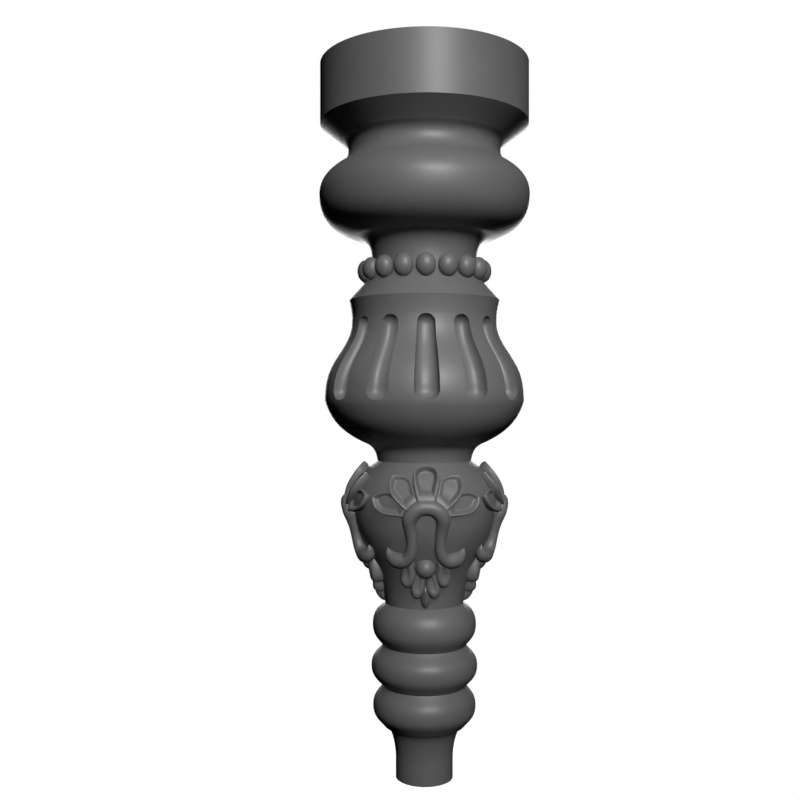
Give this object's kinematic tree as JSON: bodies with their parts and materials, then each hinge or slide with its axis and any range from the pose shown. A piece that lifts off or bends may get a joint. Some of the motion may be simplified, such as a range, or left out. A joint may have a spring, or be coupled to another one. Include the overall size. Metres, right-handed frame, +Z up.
{
  "type": "furniture leg",
  "caption": "Turned and carved furniture leg with a fluted bulb, a beaded neck, a vase with scroll and petal carving, stacked rings and a slim foot.",
  "frame": {"origin": "centre of the foot's flat end, at floor level", "axes": "+Z up along the leg's turning axis, from the foot to the block; one of the four carved ornaments faces -Y"},
  "size_m": [0.1008, 0.1008, 0.3417],
  "materials": {
    "finished_wood": "smooth dark grey satin paint on turned and carved wood"
  },
  "bodies": {
    "root": {"leg": "finished_wood"}
  },
  "joints": []
}
